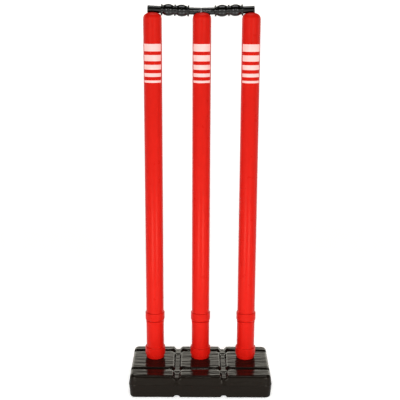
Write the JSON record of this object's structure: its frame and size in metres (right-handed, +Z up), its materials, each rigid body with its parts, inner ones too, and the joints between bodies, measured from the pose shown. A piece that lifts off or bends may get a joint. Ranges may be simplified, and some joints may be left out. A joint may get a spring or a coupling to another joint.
{
  "type": "cricket stumps",
  "caption": "Free-standing cricket stumps: round plastic stumps with turned bails lying across their tops, standing in the sockets of a hollow base block weighted with sand.",
  "frame": {"origin": "middle of the rectangle that the base covers, on the surface that the base stands on", "axes": "+Z up along the stumps, +X along the row of stumps from left to right as seen from the front, +Y from the long front side of the base, which lies further from the stumps, to its back"},
  "size_m": [0.289, 0.156, 0.7744],
  "materials": {
    "base_plastic": "gloss",
    "stump_plastic": "gloss",
    "bail_plastic": "gloss",
    "plug_plastic": "satin",
    "sand": "matte"
  },
  "bodies": {
    "base": {"base_shell": "base_plastic", "ballast_sand": "sand"},
    "filler_plug": {"filler_plug": "plug_plastic"},
    "stump_middle": {"stump_foot_middle": "stump_plastic", "stump_tube_middle": "stump_plastic"},
    "stump_left": {"stump_foot_left": "stump_plastic", "stump_tube_left": "stump_plastic"},
    "stump_right": {"stump_foot_right": "stump_plastic", "stump_tube_right": "stump_plastic"},
    "bail_left": {"bail_left": "bail_plastic"},
    "bail_right": {"bail_right": "bail_plastic"}
  },
  "joints": [
    {"name": "stump_middle_lift", "type": "slide", "parent": "base", "child": "stump_middle", "axis": [0, 0, 1], "range_m": [0, 0.05]},
    {"name": "stump_left_lift", "type": "slide", "parent": "stump_middle", "child": "stump_left", "axis": [0, 0, 1], "range_m": [0, 0.05]},
    {"name": "stump_right_lift", "type": "slide", "parent": "stump_middle", "child": "stump_right", "axis": [0, 0, 1], "range_m": [0, 0.05]},
    {"name": "bail_left_lift", "type": "slide", "parent": "stump_left", "child": "bail_left", "axis": [0, 0, 1], "range_m": [0, 0.04]},
    {"name": "bail_right_lift", "type": "slide", "parent": "stump_right", "child": "bail_right", "axis": [0, 0, 1], "range_m": [0, 0.04]},
    {"name": "filler_plug_pull", "type": "slide", "parent": "base", "child": "filler_plug", "axis": [0, 1, 0], "range_m": [0, 0.02]}
  ]
}
